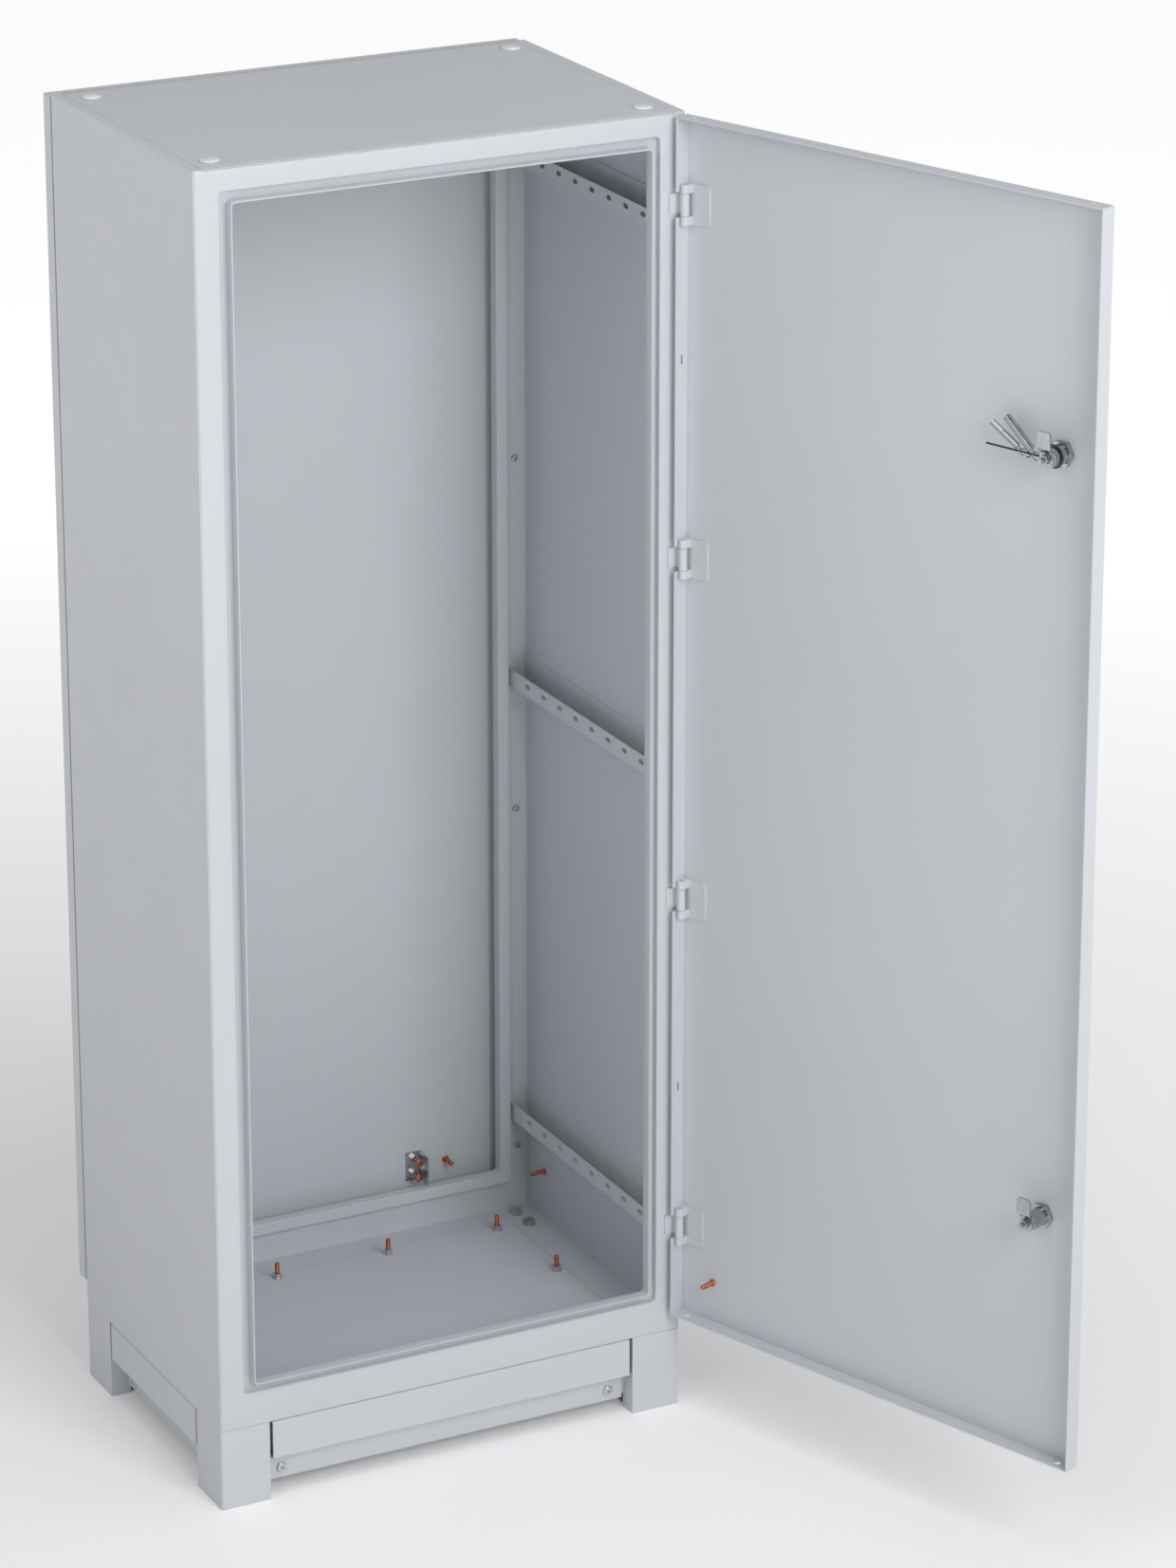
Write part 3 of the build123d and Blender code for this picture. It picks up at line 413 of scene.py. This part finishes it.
def gutter_profile():
    """Section through the gutter and lip as (offset in from the gutter's outer wall, y)."""
    floor, lip = FACE_Y + GUTTER_DEPTH, FACE_Y - LIP_PROUD
    inside = GUTTER_WIDTH + SHEET
    profile = arc((-FACE_FOLD, FACE_Y + FACE_FOLD), FACE_FOLD, -90, 0)
    profile += arc((GUTTER_FOLD, floor - GUTTER_FOLD), GUTTER_FOLD, 180, 90)
    profile += arc((GUTTER_WIDTH - GUTTER_FOLD, floor - GUTTER_FOLD), GUTTER_FOLD, 90, 0)
    profile += arc((GUTTER_WIDTH + LIP_FOLD, lip + LIP_FOLD), LIP_FOLD, 180, 270, 3)
    profile += arc((inside - LIP_FOLD, lip + LIP_FOLD), LIP_FOLD, 270, 360, 3)
    profile += arc((inside - BACK_FOLD, floor + SHEET - BACK_FOLD), BACK_FOLD, 0, 90, 3)
    return profile + [(-SHEET, floor + SHEET), (-SHEET, FACE_Y + SHEET)]


def roof_tab(name):
    """The flange at the top that turns back under the roof's edge."""
    half_length, reach = 0.2876, 0.012
    under = ROOF_Z - SHEET
    section = [(0, under), (0, under + 0.0004), (0.00035, ROOF_Z - 0.00035), (0.0011, ROOF_Z)]
    section += [(reach, ROOF_Z), (reach, under)]
    ends = [[Vector((x, FACE_Y + back, z)) for back, z in section] for x in (-half_length, half_length)]
    verts, faces = surface(ends)
    corners = len(section)
    return mesh_from(name, verts, faces + [list(range(corners)), list(range(corners, 2 * corners))])


def folded_frame(name, node, side):
    """Opening frame with rounded folds; side is -1 for the front and 1 for the rear."""
    low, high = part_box(node)
    rows = []
    for back, inset in ((SHEET, 0), (0.0011, 0), (0.0003, 0.0003), (0, 0.0011)):
        rows.append(rounded_loop(high.x - inset, low.z + inset, high.z - inset, 0.0006, FACE_Y + back))
    for offset, y in gutter_profile():
        half_x, bottom, top = GUTTER_X - offset, GUTTER_LOW + offset, GUTTER_HIGH - offset
        rows.append(rounded_loop(half_x, bottom, top, corner_radius(offset), y))
    mesh = join_meshes(name, [mesh_from(name, *surface(rows, closed_rows=True)), roof_tab(name)])
    if side > 0:
        mesh.transform(Matrix.Diagonal((1, -1, 1, 1)))
        mesh.flip_normals()
    add_piece(name, mesh, "cabinet", "powder_coat", node)


folded_frame("front_opening_frame", "front_frame", -1)
folded_frame("rear_opening_frame", "rear_frame", 1)


# ---------------------------------------------------------------- threaded studs
def threaded_stud(points, towards=None, foot=True):
    """M6 stud with a cut thread along the solid that holds points, on a flat foot if it has one."""
    pitch, radius, thread_depth = 0.001, 0.003, 0.00034
    segments, per_turn, run_in = 18, 4, 3
    foot_top, tip_length = 0.0011, 0.0012
    base, axis, length = long_axis(points, towards)
    u, w = basis(axis)
    turns = full_turn(segments)
    start = foot_top if foot else 0.0
    if foot:
        profile = [(0.0041, 0.0), (0.0045, 0.0003), (0.0045, 0.0008), (0.0038, foot_top)]
    else:
        profile = [(0.0028, 0.0)]
    rows = [[base]]
    for r, height in profile:
        rows.append(ring(base + axis * height, u, w, r, turns))
    for k in range(int((length - start - tip_length) / pitch * per_turn) + 1):
        height = start + 0.0002 + k * pitch / per_turn
        row = []
        for i, t in enumerate(turns):
            phase = (height / pitch - i / segments) % 1.0
            depth = thread_depth * abs(2 * phase - 1) * min(1, k / run_in)
            row += ring(base + axis * height, u, w, radius - depth, [t])
        rows.append(row)
    for r, back in ((0.00255, 0.0007), (0.0021, 0.0)):
        rows.append(ring(base + axis * (length - back), u, w, r, turns))
    rows.append([base + axis * length])
    return mesh_from("stud", *surface(rows))


for name, node, body, footed, towards in (
    ("gland_plate_threaded_studs", "gland_plate_studs", "cabinet", False, (0, 0, 1)),
    ("earth_threaded_studs", "earth_studs", "cabinet", True, None),
    ("door_threaded_stud", "door_earth_stud", "door", True, None),
):
    made = []
    for points in islands(node):
        made.append(threaded_stud(points, towards, footed))
    add_piece(name, join_meshes(name, made), body, "copper", node, smooth_angle=70)


# ---------------------------------------------------------------- screws with a cross recess
def recess(x, z):
    """0 outside the cross, 1 inside, soft at its walls."""
    slot_half_width, reach = 0.0006, 0.0021
    best = 0.0
    for a, b in ((x, z), (z, x)):
        across = max(0.0, min(1.0, (slot_half_width + 0.0002 - abs(a)) / 0.0003))
        along = max(0.0, min(1.0, (reach - abs(b)) / 0.0005))
        best = max(best, across * along)
    return best


def pan_head(seat, axis, radius, height):
    """Domed screw head with a cross recess half as deep as the head is high."""
    rings, segments = 18, 48
    dome_share, dome_drop = 0.86, 0.22
    u, w = basis(axis)
    turns = full_turn(segments, math.pi / 4)
    rows = [[seat + axis * height * 0.5]]
    for k in range(1, rings + 1):
        r = radius * dome_share * k / rings
        row = []
        for t in turns:
            x, z = r * math.cos(t), r * math.sin(t)
            dome = height * (1 - dome_drop * (r / radius) ** 2)
            row.append(seat + u * x + w * z + axis * (dome - recess(x, z) * height * 0.5))
        rows.append(row)
    for share, rise in ((0.95, 0.66), (1.0, 0.44), (1.0, 0.0), (0.6, 0.0)):
        rows.append(ring(seat + axis * height * rise, u, w, radius * share, turns))
    rows.append([seat])
    return mesh_from("head", *surface(rows))


def shank_mesh(seat, axis, radius, depth):
    """Plain shank with a short taper at its end, closed at both ends."""
    segments, taper = 20, 0.001
    profile = [(radius, 0), (radius, depth - taper), (radius * 0.7, depth)]
    verts, faces = lathe(seat, -axis, profile, segments)
    ends = [list(range(segments)), list(range(2 * segments, 3 * segments))]
    return mesh_from("shank", verts, faces + ends)


def screw_set(name, node, height, shank):
    """A cross-recessed screw on each solid of a node; each lies along x or y with its head outside."""
    made = []
    for points in islands(node):
        spans = points.max(0) - points.min(0)
        middle = (points.max(0) + points.min(0)) / 2
        k = 1 if abs(spans[0] - spans[2]) < 1e-4 else 0
        along = points[:, k]
        others = [n for n in range(3) if n != k]
        reach = np.linalg.norm(points[:, others] - middle[others], axis=1)
        radius = float(reach.max())
        wide = along[reach > radius * 0.9]
        outward = 1.0 if abs(wide.mean() - along.max()) < abs(wide.mean() - along.min()) else -1.0
        seat = middle.copy()
        seat[k] = wide.min() if outward > 0 else wide.max()
        seat = Vector(seat)
        axis = Vector([outward * (n == k) for n in range(3)])
        made.append(pan_head(seat, axis, radius, height))
        made.append(shank_mesh(seat, axis, shank, float(along.max() - along.min()) - height))
    add_piece(name, join_meshes(name, made), "cabinet", "zinc", node)


screw_set("plinth_cover_cross_screws", "plinth_cover_screws", 0.003, 0.0029)
screw_set("rear_cover_cross_screws", "rear_cover_screws", 0.003, 0.0024)


# ---------------------------------------------------------------- gland plate seal
def gland_foam():
    """Foam seal that swells out past the edge of the plate that presses on it."""
    low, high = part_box("gland_seal")
    swell, lap, radius = 0.003, 0.024, 0.006
    thick = high.z - low.z
    rows = []
    section = [(-lap, 0), (swell * 0.6, 0), (swell, 0.3), (swell, 0.6), (swell * 0.6, 0.9), (0, 1), (-lap, 1)]
    for out, rise in section:
        loop = rounded_loop(high.x + out, low.y - out, high.y + out, radius, low.z + thick * rise)
        rows.append([Vector((point.x, point.z, point.y)) for point in loop])
    mesh = mesh_from("gland_foam_seal", *surface(rows, closed_rows=True))
    add_piece("gland_foam_seal", mesh, "cabinet", "seal", "gland_seal")


gland_foam()

# ---------------------------------------------------------------- roof plugs
def roof_plugs():
    made = []
    for points in islands("lifting_hole_plugs"):
        low, high = Vector(points.min(0)), Vector(points.max(0))
        foot = Vector(((low.x + high.x) / 2, (low.y + high.y) / 2, ROOF_Z))
        stem = low.z - ROOF_Z
        profile = [(0, stem), (0.0058, stem), (0.0066, stem + SHEET), (0.0067, 0)]
        profile += [(0.0114, 0), (0.01195, 0.0004), (0.0119, 0.0009)]
        profile += [(0.0112, 0.0018), (0.0098, 0.0025), (0.0074, 0.0029), (0.004, 0.00298), (0, 0.003)]
        made.append(mesh_from("plug", *lathe(foot, Vector((0, 0, 1)), profile, 40)))
    add_piece("roof_plugs", join_meshes("roof_plugs", made), "cabinet", "plug", "lifting_hole_plugs")


roof_plugs()

# ---------------------------------------------------------------- finishes and eased edges on the CAD nodes
edge_width = {
    "powder_coat": 0.00035, "zinc": 0.00035, "chrome": 0.00045, "copper": 0.0002,
    "seal": 0.0002, "tie": 0.00025, "plug": 0.0003,
}
sharp_nodes = {"rear_cover", *(f"hinge_bracket_{number}" for number in range(1, 5))}
for node, cad in nodes.items():
    slot = slot_of[node]
    cad.data.materials.clear()
    cad.data.materials.append(finishes[slot])
    for polygon in cad.data.polygons:
        polygon.material_index = 0
    if node in sharp_nodes:
        continue
    weld = cad.modifiers.new("weld", "WELD")
    weld.merge_threshold = 2e-6
    flat = cad.modifiers.new("whole_faces", "DECIMATE")
    flat.decimate_type = "DISSOLVE"
    flat.angle_limit = math.radians(0.6)
    bevel = cad.modifiers.new("eased_edges", "BEVEL")
    bevel.width = edge_width[slot]
    bevel.segments = 2
    bevel.limit_method = "ANGLE"
    bevel.angle_limit = math.radians(35)
    bevel.harden_normals = False
    cad.modifiers.new("normals", "WEIGHTED_NORMAL")
